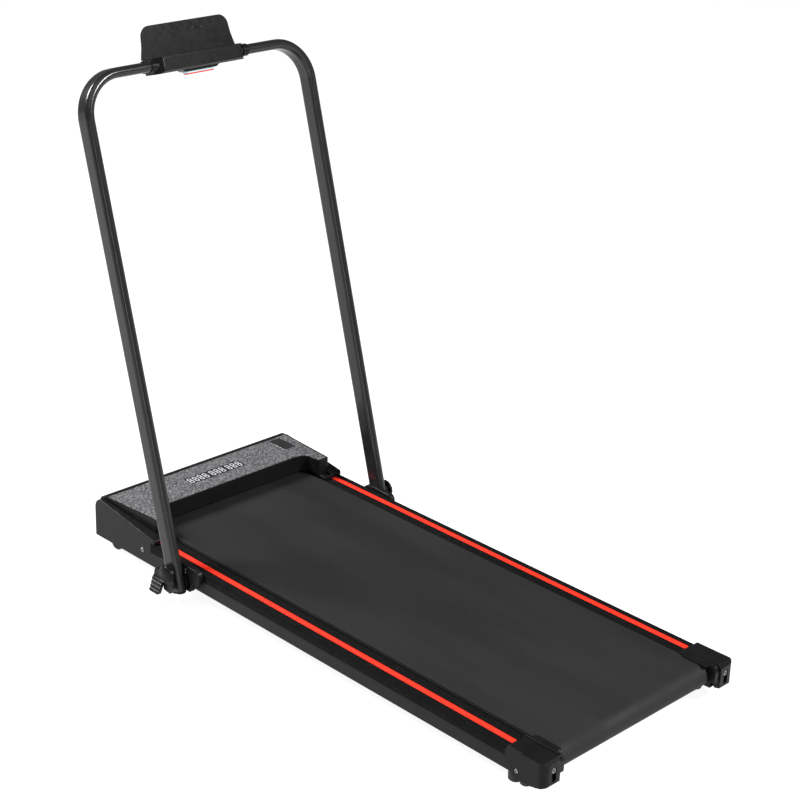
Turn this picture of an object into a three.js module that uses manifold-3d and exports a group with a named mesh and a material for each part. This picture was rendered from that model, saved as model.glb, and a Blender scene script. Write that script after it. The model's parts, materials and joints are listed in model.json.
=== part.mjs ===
// Flat motorised walking treadmill with a fold-down handrail and a phone holder.
// Millimetres. +Z is up, +Y points to the motor hood (the way the user faces) and +X to the
// user's right. The origin is on the floor under the middle of the machine.

import * as THREE from 'three';
import { mergeVertices } from 'three/addons/utils/BufferGeometryUtils.js';
import Module from 'manifold-3d';

const wasm = await Module();
wasm.setup();

// ------------------------------------------------------------------ driving dimensions

const GAP = 0.3;                      // clearance between pieces that touch

const LENGTH = 1253;                  // end caps to front covers
const REAR_Y = -LENGTH / 2;
const FRONT_Y = LENGTH / 2;

const BELT_TOP = 75;                  // walking surface above the floor
const BELT_HALF = 200;
const BELT_THICK = 2;
const ROLLER_RADIUS = 20.7;
const BELT_RADIUS = ROLLER_RADIUS + GAP + BELT_THICK;
const AXLE_Z = BELT_TOP - BELT_RADIUS;
const AXLE_RADIUS = 7.5;
const REAR_AXLE_Y = REAR_Y + 39;
const FRONT_AXLE_Y = FRONT_Y - 110;
const ROLLER_HALF = 198;
const ROLLER = { wall: 2.5, hub: 14, chamfer: 1 };
const AXLE_HALF = 235.7;              // from the middle to an end of an axle
const TENSION_TRAVEL = 6;             // how far the rear roller can be slackened

const FRAME = { inX: 214, outX: 250, bottom: 24, top: 53.5, wall: 2.5 };
const FRAME_REAR_Y = REAR_Y + 20.5;
const FRAME_FRONT_Y = FRONT_Y - 70.5;
const CARRIER = { inX: 222, outX: 242, bottom: 38, top: 66, frontY: REAR_AXLE_Y + 16 };
const BOLT = {
  x: 232, z: 58, radius: 2.9, clear: 0.4, headRadius: 4.8, headY: REAR_Y + 1, headDeep: 5,
  socketDeep: 3, tipY: REAR_AXLE_Y - 10.5, holeY: REAR_AXLE_Y - 8,
};

const CROSS = { half: 15, bottom: 34, top: 53, wall: 2, rearY: -480, middleY: 0, frontY: 440 };
const DECK = { half: 204, rearY: -555, frontY: 489, thick: 12 };
const CUSHION = { inX: 160, outX: 190, rearY: -540, frontY: 470 };

const RAIL_IN_X = 206.5;
const RAIL_OUT_X = 253;
const RAIL_TOP = 72;
const RAIL_BOTTOM = FRAME.top + GAP;
const RAIL = { skin: 2.2, channelDeep: 2.7, lip: 1.5, chamfer: 3, lineZ: 61.4, lineDeep: 0.8 };
const TREAD = { deep: 0.8, share: 0.35, insideGrooves: 5, outsideGrooves: 4, edge: 1 };
const STRIP = { thick: 2.4, groovePitch: 2, grooveHalf: 0.5, grooveDeep: 0.4 };
const STRIP_IN_X = 225.7;
const STRIP_OUT_X = 238.7;
const STRIP_REAR_Y = REAR_Y + 91;
const LEDGE_Y = FRONT_Y - 198.5;      // user-side edge of the ledge on the front covers
const LEDGE_LENGTH = 50;
const LEDGE_TOP = 79.7;
const NOTCH_Y = LEDGE_Y + 11.5;       // where the side of a rail cover runs in under a front cover

const HOOD_TOP = 114;
const HOOD_BOTTOM = 78;
const HOOD_USER_HALF = 232;           // half width, which grows towards the front
const HOOD_FRONT_HALF = 243;
const HOOD_USER_Y = FRONT_Y - 135;    // the edge that faces the user
const HOOD_FRONT_Y = FRONT_Y - 24.5;  // where the flat top ends
const SKIRT_Y = FRONT_Y - 2.5;
const SKIRT_BOTTOM = 24;
const HORN_IN_X = 203.7;
const HORN_END_Y = FRONT_Y - 181;

const COVER = {
  inX: 225, rearY: FRONT_Y - 269.5, bottom: 22.5, bandTop: 52.2, top: 112, skin: 2.6, clear: 0.4,
};

const WHEEL = {
  y: FRONT_Y - 48, z: 18, radius: 18, inX: 216, outX: 238, hubRadius: 9, hubDeep: 5, bevel: 2,
};
const WHEEL_BOLT_RADIUS = 4;
const WHEEL_HEAD = {
  radius: 7, inside: 4.7, outside: 1.2, socketRadius: 2.6, socketDeep: 1.8, nutHigh: 4.7,
};
const LUG = { half: 10, baseHalf: 14, drop: 9, rise: 12, corner: 8 };
const PAN_HALF = FRAME.inX - GAP;
const PAN_FLOOR = { bottom: 20, top: 23, wall: 3, flangeTop: 42 };

const MOTOR = {
  y: FRONT_Y - 46.5, z: 62, radius: 27.5, inX: 48, outX: 172, capRadius: 23.5, capWide: 14,
  boss: 11, bossHigh: 3, noseHigh: 6, boreDeep: 24, shaftDeep: 20,
};
const SADDLE = { inset: 20, half: 24, belowAxis: 16 };
const SHAFT_RADIUS = 4;
const PULLEY = {
  inX: 200.4, outX: 209.8, inFlange: 0.9, outFlange: 1.7, roller: 24.5, rollerRim: 2, motor: 8.5,
  motorRim: 1.6, belt: 1.6, beltClear: 0.4,
};

const CONTROL_BOX = {
  inX: -160, outX: -40, rearY: 552, frontY: 612, top: 52, finTop: 66, fins: 8, finThick: 3, edge: 4,
};

const LEAN = THREE.MathUtils.degToRad(15.34);   // the handrail leans forward
const PIVOT = { y: 326.5, z: 37, radius: 5 };
const TUBE = { deep: 40, wide: 20, wall: 1.5 };
const LEG_X = 275.3;
const BAR_UP = 990.2;                 // pivot to the middle of the bar
const BEND_RADIUS = 80;
const LEG_FOOT = -15;                 // the leg's open end, below the pivot
const LEG_OUT_X = LEG_X + TUBE.wide / 2;
const LEG_IN_X = LEG_X - TUBE.wide / 2;
const STUD = { up: 23, radius: 4 };   // clamping stud of the lock knob
const BRACKET_OUT_X = LEG_IN_X - 0.5;
const PIVOT_BOLT = {
  nutHigh: 7, nutClear: 1.5, washerRadius: 8, washerX: LEG_OUT_X + 0.4, washerThick: 1.2,
  headRadius: 6.8, headHigh: 3.4,
};
const STUD_SLOT = { spare: 0.22, clear: 0.6, deep: 8.5 };   // spare is in radians, at each end

// ------------------------------------------------------------------ outlines

// An outline from corners [a, b, radius]; the radius rounds that corner with an arc.
function outline(corners) {
  const shape = new THREE.Shape();
  const draw = (first, x, y) => (first ? shape.moveTo(x, y) : shape.lineTo(x, y));
  const cornerAt = (i) => new THREE.Vector2(...corners.at(i % corners.length).slice(0, 2));
  corners.forEach(([a, b, radius = 0], i) => {
    if (!radius) {
      draw(i === 0, a, b);
      return;
    }
    const corner = cornerAt(i);
    const before = cornerAt(i - 1).sub(corner).normalize();
    const after = cornerAt(i + 1).sub(corner).normalize();
    const half = Math.acos(THREE.MathUtils.clamp(before.dot(after), -1, 1)) / 2;
    const reach = radius / Math.tan(half);
    const start = before.clone().multiplyScalar(reach).add(corner);
    const end = after.clone().multiplyScalar(reach).add(corner);
    const middle = before.clone().add(after).normalize();
    middle.multiplyScalar(radius / Math.sin(half)).add(corner);
    draw(i === 0, start.x, start.y);
    const from = start.clone().sub(middle).angle();
    const to = end.clone().sub(middle).angle();
    shape.absarc(middle.x, middle.y, radius, from, to, before.cross(after) > 0);
  });
  shape.closePath();
  return shape;
}

function rectangle(a0, b0, a1, b1, radius = 0) {
  return outline([[a0, b0, radius], [a1, b0, radius], [a1, b1, radius], [a0, b1, radius]]);
}

// A slot with round ends between two points that lie on one line parallel to an axis.
function stadium(a0, a1, b, radius) {
  const shape = new THREE.Shape();
  shape.absarc(a1, b, radius, -Math.PI / 2, Math.PI / 2, false);
  shape.absarc(a0, b, radius, Math.PI / 2, Math.PI * 1.5, false);
  shape.closePath();
  return shape;
}

function withHole(shape, hole) {
  shape.holes.push(hole);
  return shape;
}

// The loop of a drive belt stretched over two round pulleys.
function pulleyLoop(big, bigRadius, small, smallRadius) {
  const span = new THREE.Vector2(small.y - big.y, small.z - big.z);
  const tilt = span.angle();
  const wrap = Math.acos((bigRadius - smallRadius) / span.length());
  const shape = new THREE.Shape();
  shape.absarc(small.y, small.z, smallRadius, tilt - wrap, tilt + wrap, false);
  shape.absarc(big.y, big.z, bigRadius, tilt + wrap, tilt - wrap + Math.PI * 2, false);
  shape.closePath();
  return shape;
}

// ------------------------------------------------------------------ solids

const PAST = 1;                       // how far a cutting body runs past the face it cuts

const X = new THREE.Vector3(1, 0, 0);
const Y = new THREE.Vector3(0, 1, 0);
const Z = new THREE.Vector3(0, 0, 1);

function extruded(shape, depth, steps) {
  return new THREE.ExtrudeGeometry(shape, { depth, bevelEnabled: false, curveSegments: steps });
}

// Outlines are drawn in (y, z), (x, z) and (x, y) for the three directions.
function alongX(shape, x0, x1, steps = 4) {
  const geometry = extruded(shape, x1 - x0, steps);
  geometry.applyMatrix4(new THREE.Matrix4().makeBasis(Y, Z, X));
  return geometry.translate(x0, 0, 0);
}

function alongY(shape, y0, y1, steps = 4) {
  const geometry = extruded(shape, y1 - y0, steps);
  geometry.applyMatrix4(new THREE.Matrix4().makeBasis(X, Z, Y.clone().negate()));
  return geometry.translate(0, y1, 0);
}

function alongZ(shape, z0, z1, steps = 4) {
  return extruded(shape, z1 - z0, steps).translate(0, 0, z0);
}

function block([x0, y0, z0], [x1, y1, z1]) {
  const geometry = new THREE.BoxGeometry(x1 - x0, y1 - y0, z1 - z0);
  return geometry.translate((x0 + x1) / 2, (y0 + y1) / 2, (z0 + z1) / 2);
}

function roundX(radius, x0, x1, y, z, segments = 20) {
  const geometry = new THREE.CylinderGeometry(radius, radius, x1 - x0, segments);
  return geometry.rotateZ(-Math.PI / 2).translate((x0 + x1) / 2, y, z);
}

function roundY(radius, y0, y1, x, z, segments = 20) {
  const geometry = new THREE.CylinderGeometry(radius, radius, y1 - y0, segments);
  return geometry.translate(x, (y0 + y1) / 2, z);
}

// A body of revolution about an axis along X; the closed profile is [[radius, x], ...].
function turnedX(profile, y, z, segments = 32) {
  const points = profile.map(([radius, x]) => new THREE.Vector2(radius, x));
  const closed = profile[0][0] > 0 ? [...points, points[0].clone()] : points;
  const geometry = new THREE.LatheGeometry(closed, segments);
  return geometry.rotateZ(-Math.PI / 2).translate(0, y, z);
}

function turnedZ(profile, x, y, segments = 32) {
  const points = profile.map(([radius, z]) => new THREE.Vector2(radius, z));
  return new THREE.LatheGeometry(points, segments).rotateX(Math.PI / 2).translate(x, y, 0);
}

function welded(geometry) {
  const bare = geometry.clone();
  bare.deleteAttribute('normal');
  bare.deleteAttribute('uv');
  return mergeVertices(bare);
}

function solid(geometry) {
  const { attributes, index } = welded(geometry);
  return new wasm.Manifold(new wasm.Mesh({
    numProp: 3,
    vertProperties: new Float32Array(attributes.position.array),
    triVerts: new Uint32Array(index.array),
  }));
}

function join(first, ...others) {
  return others.reduce((body, other) => body.add(solid(other)), solid(first));
}

function cut(body, ...tools) {
  return tools.reduce((rest, tool) => rest.subtract(solid(tool)), body);
}

function surface(body) {
  const { vertProperties, triVerts } = body.getMesh();
  const geometry = new THREE.BufferGeometry();
  geometry.setAttribute('position', new THREE.BufferAttribute(vertProperties, 3));
  geometry.setIndex(new THREE.BufferAttribute(triVerts, 1));
  return geometry;
}

function mirrored(geometry) {
  const copy = welded(geometry).scale(-1, 1, 1);
  const corners = copy.index.array;
  for (let i = 0; i < corners.length; i += 3) {
    [corners[i], corners[i + 1]] = [corners[i + 1], corners[i]];
  }
  return copy;
}

// ------------------------------------------------------------------ the assembly

const LOOKS = {
  steel: ['#8d9096', 0.35, 0.9],
  black_steel: ['#2c2c2e', 0.45, 0.4],
  painted_tube: ['#3a3a3d', 0.38, 0.3],
  plastic: ['#262628', 0.5, 0],
  rail: ['#2e2e30', 0.5, 0.1],
  red: ['#ff3e28', 0.4, 0],
  belt: ['#39393b', 0.8, 0],
  rubber: ['#161617', 0.9, 0],
  board: ['#1a1a1b', 0.6, 0],
  granite: ['#77777b', 0.6, 0],
  glass: ['#1b1b1d', 0.15, 0],
  circuit: ['#1f4a30', 0.6, 0],
  bright: ['#b9bbc0', 0.25, 1],
};

const treadmill = new THREE.Group();

function add(parent, name, body, look) {
  const geometry = body instanceof THREE.BufferGeometry ? welded(body) : surface(body);
  geometry.computeVertexNormals();
  const [color, roughness, metalness] = LOOKS[look];
  const material = new THREE.MeshStandardMaterial({ color, roughness, metalness });
  const mesh = new THREE.Mesh(geometry, material);
  mesh.name = name;
  parent.add(mesh);
}

// The body is drawn on the right and mirrored for the left.
function addPair(parent, name, body, look) {
  const right = body instanceof THREE.BufferGeometry ? body : surface(body);
  add(parent, `${name}_right`, right, look);
  add(parent, `${name}_left`, mirrored(right), look);
}

// ------------------------------------------------------------------ frame and deck

function frameRail() {
  const { inX, outX, bottom, top, wall } = FRAME;
  const section = withHole(rectangle(inX, bottom, outX, top, 2),
    rectangle(inX + wall, bottom + wall, outX - wall, top - wall));
  const clear = AXLE_RADIUS + GAP;
  const slack = 1;
  const above = top + PAST;
  const rearSlot = block([inX - PAST, REAR_AXLE_Y - clear - slack, AXLE_Z - clear],
    [inX + wall + PAST, REAR_AXLE_Y + clear + slack + TENSION_TRAVEL, above]);
  const carrierWindow = block([inX + wall, FRAME_REAR_Y - PAST, top - wall - PAST],
    [outX - wall, CARRIER.frontY + TENSION_TRAVEL + 4 * slack, above]);
  const frontSlot = block([inX - PAST, FRONT_AXLE_Y - clear, AXLE_Z - clear],
    [AXLE_HALF + 2 * slack, FRONT_AXLE_Y + clear, above]);
  const pivotHole = roundX(PIVOT.radius + GAP, outX - wall - PAST, outX + PAST, PIVOT.y, PIVOT.z);
  const tube = solid(alongY(section, FRAME_REAR_Y, FRAME_FRONT_Y, 1));
  return cut(tube, rearSlot, carrierWindow, frontSlot, pivotHole);
}

function crossMember(y) {
  const { half, bottom, top, wall } = CROSS;
  const section = withHole(rectangle(y - half, bottom, y + half, top),
    rectangle(y - half + wall, bottom + wall, y + half - wall, top - wall));
  return alongX(section, -FRAME.inX + GAP, FRAME.inX - GAP);
}

// Lengthwise grooves on the tread strips beside the coloured trim.
function groovedTop(fromX, toX, count) {
  const pitch = (toX - fromX) / (count + 1);
  const width = pitch * TREAD.share;
  return Array.from({ length: count }, (_, i) => fromX + pitch * (i + 1)).flatMap((x) => [
    [x - width, RAIL_TOP], [x, RAIL_TOP - TREAD.deep], [x + width, RAIL_TOP],
  ]);
}

function railCover() {
  const { skin, channelDeep, lip, chamfer, lineZ, lineDeep } = RAIL;
  const { edge, insideGrooves, outsideGrooves } = TREAD;
  const channel = RAIL_TOP - channelDeep;
  const floor = channel - skin;
  const lineX = RAIL_OUT_X - lineDeep;
  return alongY(outline([
    [RAIL_IN_X, RAIL_BOTTOM], [RAIL_IN_X, RAIL_TOP, lip],
    ...groovedTop(RAIL_IN_X + lip, STRIP_IN_X - edge, insideGrooves),
    [STRIP_IN_X, RAIL_TOP], [STRIP_IN_X, channel], [STRIP_OUT_X, channel], [STRIP_OUT_X, RAIL_TOP],
    ...groovedTop(STRIP_OUT_X + edge, RAIL_OUT_X - chamfer, outsideGrooves),
    [RAIL_OUT_X - lip, RAIL_TOP], [RAIL_OUT_X, RAIL_TOP - chamfer],
    [RAIL_OUT_X, lineZ + 2 * lineDeep], [lineX, lineZ + lineDeep], [lineX, lineZ],
    [RAIL_OUT_X, lineZ - lineDeep], [RAIL_OUT_X, RAIL_BOTTOM],
    [RAIL_OUT_X - skin, RAIL_BOTTOM], [RAIL_OUT_X - skin, floor],
    [RAIL_IN_X + skin, floor], [RAIL_IN_X + skin, RAIL_BOTTOM],
  ]), REAR_Y + 78.5, NOTCH_Y - GAP, 2);
}

function trimStrip() {
  const left = STRIP_IN_X + GAP;
  const right = STRIP_OUT_X - GAP;
  const middle = (left + right) / 2;
  const { thick, groovePitch, grooveHalf, grooveDeep } = STRIP;
  const grooves = [groovePitch, 0, -groovePitch].map((dx) => middle + dx).flatMap((x) => [
    [x + grooveHalf, RAIL_TOP], [x, RAIL_TOP - grooveDeep], [x - grooveHalf, RAIL_TOP],
  ]);
  const floor = RAIL_TOP - thick;
  const base = [[left, RAIL_TOP], [left, floor], [right, floor], [right, RAIL_TOP]];
  return alongY(outline([...base, ...grooves]), STRIP_REAR_Y, LEDGE_Y - 0.5);
}

function walkingBelt() {
  const loop = withHole(stadium(REAR_AXLE_Y, FRONT_AXLE_Y, AXLE_Z, BELT_RADIUS),
    stadium(REAR_AXLE_Y, FRONT_AXLE_Y, AXLE_Z, BELT_RADIUS - BELT_THICK));
  return alongX(loop, -BELT_HALF, BELT_HALF, 8);
}

function addFrame() {
  addPair(treadmill, 'frame_rail', frameRail(), 'black_steel');
  add(treadmill, 'cross_member_rear', crossMember(CROSS.rearY), 'black_steel');
  add(treadmill, 'cross_member_middle', crossMember(CROSS.middleY), 'black_steel');
  add(treadmill, 'cross_member_front', crossMember(CROSS.frontY), 'black_steel');
  const deckTop = BELT_TOP - BELT_THICK - GAP;
  const deckBottom = deckTop - DECK.thick;
  const board = rectangle(-DECK.half, DECK.rearY, DECK.half, DECK.frontY, 4);
  add(treadmill, 'deck_board', alongZ(board, deckBottom, deckTop, 1), 'board');
  const cushion = block([CUSHION.inX, CUSHION.rearY, CROSS.top + GAP],
    [CUSHION.outX, CUSHION.frontY, deckBottom - GAP]);
  addPair(treadmill, 'deck_cushion', cushion, 'rubber');
  addPair(treadmill, 'rail_cover', railCover(), 'rail');
  addPair(treadmill, 'trim_strip', trimStrip(), 'red');
  add(treadmill, 'walking_belt', walkingBelt(), 'belt');
}

// ------------------------------------------------------------------ rollers and drive

function roller(y) {
  const outer = ROLLER_RADIUS;
  const inner = outer - ROLLER.wall;
  const bore = AXLE_RADIUS + GAP;
  const half = ROLLER_HALF;
  const hub = half - ROLLER.hub;
  const { chamfer } = ROLLER;
  return turnedX([
    [outer - chamfer, -half], [outer, chamfer - half], [outer, half - chamfer],
    [outer - chamfer, half], [bore, half],
    [bore, hub], [inner, hub], [inner, -hub], [bore, -hub], [bore, -half],
  ], y, AXLE_Z, 24);
}

function rollerPulley() {
  const { roller: groove, rollerRim } = PULLEY;
  const bore = AXLE_RADIUS + GAP;
  return turnedX(pulleyProfile(groove, groove + rollerRim, bore), FRONT_AXLE_Y, AXLE_Z, 24);
}

function motorPulley() {
  const { motor: groove, motorRim } = PULLEY;
  const bore = SHAFT_RADIUS + GAP;
  return turnedX(pulleyProfile(groove, groove + motorRim, bore), MOTOR.y, MOTOR.z, 16);
}

// A flat groove between two flanges.
function pulleyProfile(groove, flange, bore) {
  const { inX, outX } = PULLEY;
  const start = inX + PULLEY.inFlange;
  const end = outX - PULLEY.outFlange;
  return [
    [flange, inX], [flange, start], [groove, start], [groove, end],
    [flange, end], [flange, outX], [bore, outX], [bore, inX],
  ];
}

function driveBelt() {
  const big = { y: FRONT_AXLE_Y, z: AXLE_Z };
  const inner = GAP;
  const outer = GAP + PULLEY.belt;
  const loop = withHole(pulleyLoop(big, PULLEY.roller + outer, MOTOR, PULLEY.motor + outer),
    pulleyLoop(big, PULLEY.roller + inner, MOTOR, PULLEY.motor + inner));
  const { inX, outX, inFlange, outFlange, beltClear } = PULLEY;
  return alongX(loop, inX + inFlange + beltClear, outX - outFlange - beltClear, 8);
}

function motorHousing() {
  const { inX, outX, radius, capRadius: cap, capWide, boss, bossHigh, noseHigh, boreDeep } = MOTOR;
  const bore = SHAFT_RADIUS + GAP;
  return turnedX([
    [0, inX], [boss, inX], [boss, inX + bossHigh], [cap, inX + bossHigh], [cap, inX + capWide],
    [radius, inX + capWide], [radius, outX - capWide], [cap, outX - capWide],
    [cap, outX - bossHigh], [boss, outX - bossHigh], [boss, outX + noseHigh],
    [bore, outX + noseHigh], [bore, outX - boreDeep], [0, outX - boreDeep],
  ], MOTOR.y, MOTOR.z, 24);
}

function motorSaddle() {
  const { inX, outX, radius, y, z } = MOTOR;
  const { inset, half, belowAxis } = SADDLE;
  const cradle = block([inX + inset, y - half, PAN_FLOOR.top + GAP],
    [outX - inset, y + half, z - belowAxis]);
  return cut(solid(cradle), roundX(radius + GAP, inX, outX, y, z, 32));
}

function controlBox() {
  const { inX, outX, rearY, frontY, top, finTop, fins, finThick, edge } = CONTROL_BOX;
  const pitch = (frontY - rearY - edge) / fins;
  const teeth = Array.from({ length: fins }, (_, i) => rearY + edge + i * pitch).flatMap((y) => [
    [y, top], [y, finTop], [y + finThick, finTop], [y + finThick, top],
  ]);
  const floor = PAN_FLOOR.top + GAP;
  const base = [[frontY, top], [frontY, floor], [rearY, floor], [rearY, top]];
  return alongX(outline([...teeth, ...base]), inX, outX);
}

function axleCarrier() {
  const { inX, outX, bottom, top, frontY } = CARRIER;
  const body = block([inX, FRAME_REAR_Y + 2, bottom], [outX, frontY, top]);
  const axleHole = roundX(AXLE_RADIUS + GAP, inX - PAST, AXLE_HALF + GAP, REAR_AXLE_Y, AXLE_Z);
  const { radius, clear, holeY, x, z } = BOLT;
  const boltHole = roundY(radius + clear, FRAME_REAR_Y - PAST, holeY, x, z, 16);
  return cut(solid(body), axleHole, boltHole);
}

function tensionBolt() {
  const { x, z, radius, headRadius, headY, headDeep, socketDeep, tipY } = BOLT;
  const head = roundY(headRadius, headY, headY + headDeep, x, z, 24);
  const shaft = roundY(radius, headY + socketDeep + PAST, tipY, x, z, 16);
  const socket = roundY(headRadius / 2, headY - PAST, headY + socketDeep, x, z, 6);
  return cut(join(head, shaft), socket);
}

function addDrive() {
  [['front', FRONT_AXLE_Y], ['rear', REAR_AXLE_Y]].forEach(([end, y]) => {
    add(treadmill, `${end}_axle`, roundX(AXLE_RADIUS, -AXLE_HALF, AXLE_HALF, y, AXLE_Z, 24), 'steel');
    add(treadmill, `${end}_roller`, roller(y), 'steel');
  });
  addPair(treadmill, 'axle_carrier', axleCarrier(), 'steel');
  addPair(treadmill, 'tension_bolt', tensionBolt(), 'bright');
  add(treadmill, 'roller_pulley', rollerPulley(), 'steel');
  add(treadmill, 'drive_belt', driveBelt(), 'rubber');
  add(treadmill, 'motor_housing', motorHousing(), 'black_steel');
  const shaft = roundX(SHAFT_RADIUS, MOTOR.outX - MOTOR.shaftDeep, PULLEY.outX - 0.2,
    MOTOR.y, MOTOR.z, 16);
  add(treadmill, 'motor_shaft', shaft, 'bright');
  add(treadmill, 'motor_pulley', motorPulley(), 'steel');
  add(treadmill, 'motor_saddle', motorSaddle(), 'steel');
  add(treadmill, 'control_box', controlBox(), 'steel');
}

// ------------------------------------------------------------------ motor hood

const HOOD_SKIN = 3;
const PANEL_RIM = 3.2;
const PANEL_THICK = 2;
const HOOD_ROOF = HOOD_TOP - 4;       // underside of the hood's roof

function hoodPlan(inset) {
  const right = [
    [HOOD_FRONT_HALF - inset, HOOD_FRONT_Y - inset], [HOOD_USER_HALF - inset, HORN_END_Y + inset, 3],
    [HORN_IN_X + inset, HORN_END_Y + inset, 3], [HORN_IN_X + inset, HOOD_USER_Y + inset, 24 + inset],
  ];
  const left = right.map(([x, y, radius]) => [-x, y, radius]).reverse();
  return outline([...right, ...left]);
}

function frontBlock(inset, bottom) {
  const back = HOOD_FRONT_Y - 6;
  return outline([
    [back, bottom], [SKIRT_Y - inset, bottom],
    [SKIRT_Y - inset, HOOD_TOP - inset, 20 - inset], [back, HOOD_TOP - inset],
  ]);
}

const SWITCH = { x: -178, z: 60, width: 14, height: 22 };
const ROCKER = { half: 6.7, axleIn: 6, backHalf: 8, frontHalf: 9.5, low: 5.3, middle: 6, high: 8.2 };
const INLET = { x: -206, z: 60, width: 28, height: 20, deep: 20, rim: 3, flange: 2.2 };
const INLET_SOCKET = { half: 12, halfHigh: 7.5, deep: 14 };
const BLADE = { half: 1, halfHigh: 2.5, tipIn: 6, places: [[-7, -1], [0, 2], [7, -1]] };

function skirtOpening({ x, z, width, height }, margin) {
  return block([x - width / 2 - margin, SKIRT_Y - HOOD_SKIN - 2, z - height / 2 - margin],
    [x + width / 2 + margin, SKIRT_Y + 1, z + height / 2 + margin]);
}

function hoodShell() {
  const outer = join(alongZ(hoodPlan(0), HOOD_BOTTOM, HOOD_TOP, 3),
    alongX(frontBlock(0, SKIRT_BOTTOM), -HOOD_FRONT_HALF, HOOD_FRONT_HALF));
  const inside = HOOD_FRONT_HALF - HOOD_SKIN;
  const below = SKIRT_BOTTOM - 4;
  const ledgeRoom = block([HORN_IN_X - 3, HORN_END_Y - 5, LEDGE_TOP - 10],
    [RAIL_OUT_X + 7, LEDGE_Y + LEDGE_LENGTH + 0.5, LEDGE_TOP + GAP]);
  return cut(outer,
    alongZ(hoodPlan(HOOD_SKIN), HOOD_BOTTOM - 8, HOOD_ROOF, 3),
    alongX(frontBlock(HOOD_SKIN, below), -inside, inside),
    block([-inside, HOOD_FRONT_Y - 12, below], [inside, HOOD_FRONT_Y - 2, HOOD_ROOF]),
    alongZ(hoodPlan(PANEL_RIM), HOOD_TOP - PANEL_THICK, HOOD_TOP + 2, 3),
    ledgeRoom, mirrored(ledgeRoom), skirtOpening(SWITCH, 0.8), skirtOpening(INLET, GAP));
}

// Windows let into the panel: lowest and highest x and y.
const DISPLAY = [-73, HOOD_USER_Y + 41.3, 73, HOOD_USER_Y + 70.8];
const SENSOR = [187, HOOD_USER_Y + 46, 218, HOOD_USER_Y + 99];

function grown([x0, y0, x1, y1], margin) {
  return rectangle(x0 - margin, y0 - margin, x1 + margin, y1 + margin, 2);
}

function addHood() {
  const panelBottom = HOOD_TOP - PANEL_THICK + GAP;
  const windowTop = HOOD_TOP - 0.1;
  const through = (place) => alongZ(grown(place, GAP), panelBottom - 5, HOOD_TOP + 5, 1);
  const panel = solid(alongZ(hoodPlan(PANEL_RIM + GAP), panelBottom, HOOD_TOP, 3));
  add(treadmill, 'hood_shell', hoodShell(), 'plastic');
  add(treadmill, 'hood_panel', cut(panel, through(DISPLAY), through(SENSOR)), 'granite');
  add(treadmill, 'display_window', alongZ(grown(DISPLAY, 0), panelBottom, windowTop, 1), 'glass');
  add(treadmill, 'sensor_window', alongZ(grown(SENSOR, 0), panelBottom, windowTop, 1), 'glass');
  const [x0, y0, x1, y1] = DISPLAY;
  const board = block([x0 - 7, y0 - 8, HOOD_ROOF - 7], [x1 + 7, y1 + 9, HOOD_ROOF - GAP]);
  add(treadmill, 'display_board', board, 'circuit');
}

function rocker() {
  const { half, axleIn, backHalf, frontHalf, low, middle, high } = ROCKER;
  const y = SKIRT_Y - axleIn;
  const { x, z } = SWITCH;
  return alongX(outline([
    [y - axleIn, z - backHalf], [y + low, z - frontHalf], [y + middle, z],
    [y + high, z + frontHalf], [y - axleIn, z + backHalf],
  ]), x - half, x + half);
}

function powerInlet() {
  const { x, z, width, height, deep, rim, flange: flangeOut } = INLET;
  const body = block([x - width / 2, SKIRT_Y - deep, z - height / 2],
    [x + width / 2, SKIRT_Y + 1, z + height / 2]);
  const rimX = width / 2 + rim;
  const rimZ = height / 2 + rim;
  const flange = alongY(rectangle(x - rimX, z - rimZ, x + rimX, z + rimZ, 2),
    SKIRT_Y + GAP, SKIRT_Y + flangeOut, 2);
  const room = INLET_SOCKET;
  const socket = block([x - room.half, SKIRT_Y - room.deep, z - room.halfHigh],
    [x + room.half, SKIRT_Y + flangeOut + PAST, z + room.halfHigh]);
  const { half, halfHigh, tipIn, places } = BLADE;
  const rootY = SKIRT_Y - room.deep - 2;
  const blades = places.map(([dx, dz]) => [x + dx, z + dz]).map(([bladeX, bladeZ]) => block(
    [bladeX - half, rootY, bladeZ - halfHigh], [bladeX + half, SKIRT_Y - tipIn, bladeZ + halfHigh]));
  return blades.reduce((rest, blade) => rest.add(solid(blade)), cut(join(body, flange), socket));
}

function addPowerPanel() {
  add(treadmill, 'power_switch', rocker(), 'plastic');
  add(treadmill, 'power_inlet', powerInlet(), 'plastic');
}

// ------------------------------------------------------------------ front covers, pan and wheels

// Side view of a cover: a low band that runs back past the wheel, then the tall part.
function coverSide(inset) {
  const { rearY, bottom, bandTop, top } = COVER;
  const ledgeBottom = RAIL_TOP + COVER.clear;
  return outline([
    [rearY + inset, bottom + inset], [FRONT_Y - inset, bottom + inset, inset ? 0 : 2],
    [FRONT_Y - inset, top - inset, 22 - inset],
    [LEDGE_Y + 3 + inset, LEDGE_TOP + 2.8 - inset, inset ? 0 : 3],
    [LEDGE_Y + inset, LEDGE_TOP], [LEDGE_Y + inset, ledgeBottom + inset],
    [NOTCH_Y + inset, ledgeBottom + inset], [NOTCH_Y + inset, bandTop - inset],
    [rearY + inset, bandTop - inset],
  ]);
}

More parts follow.
